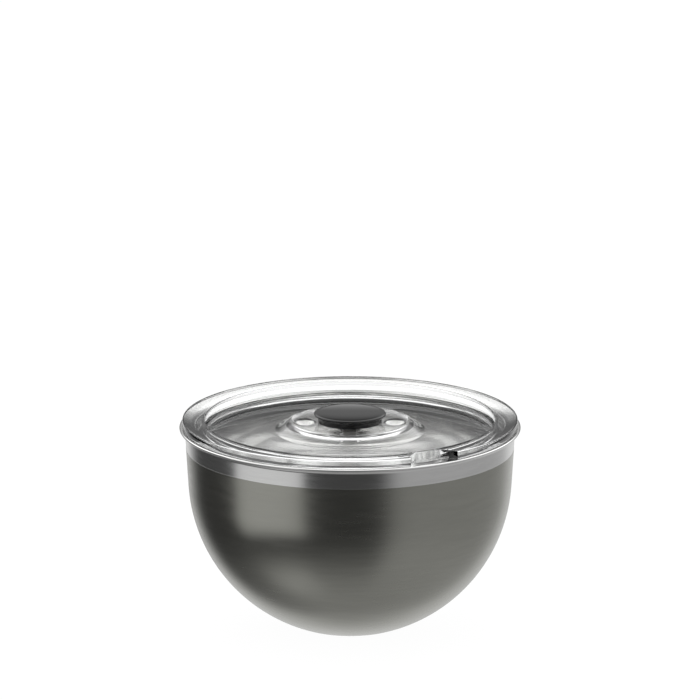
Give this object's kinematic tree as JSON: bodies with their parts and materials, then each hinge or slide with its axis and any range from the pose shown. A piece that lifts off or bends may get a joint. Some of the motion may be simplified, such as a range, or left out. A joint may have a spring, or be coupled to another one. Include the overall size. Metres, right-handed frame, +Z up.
{
  "type": "insulated bowl",
  "caption": "Round double-wall steel bowl with a bare band under the rim, a clear press-in lid with a finger notch, and a round vent knob.",
  "frame": {"origin": "on the table, at the middle of the bowl's base", "axes": "+Z up along the bowl's axis, -Y the front, +X to the right"},
  "size_m": [0.1934, 0.1934, 0.1234],
  "materials": {
    "tinted_steel": "satin tinted metallic coat on brushed steel, bare brushed band under the rim",
    "brushed_steel": "fine satin",
    "cover_steel": "satin",
    "solder": "fused bead",
    "getter": "sintered",
    "clear_plastic": "clear polished",
    "clear_silicone": "translucent",
    "gloss_black": "polished",
    "satin_black": "satin",
    "grey_silicone": "matte",
    "natural_plastic": "undyed, slightly milky"
  },
  "bodies": {
    "bowl": {"outer_shell": "tinted_steel", "inner_bowl": "brushed_steel", "base_cover": "cover_steel", "seal_bead": "solder", "getter_pan": "cover_steel", "getter": "getter"},
    "lid": {"lid_shell": "clear_plastic", "lid_gasket": "clear_silicone"},
    "vent_knob": {"knob_cap": "gloss_black", "knob_collar": "satin_black", "vent_seal": "grey_silicone", "knob_stem": "natural_plastic", "stem_o_ring": "clear_silicone", "retaining_clip": "cover_steel"}
  },
  "joints": [
    {"name": "lid_lift", "type": "slide", "parent": "bowl", "child": "lid", "axis": [0, 0, 1], "range_m": [0, 0.06]},
    {"name": "vent_pull", "type": "slide", "parent": "lid", "child": "vent_knob", "axis": [0, 0, 1], "range_m": [0, 0.004]}
  ]
}
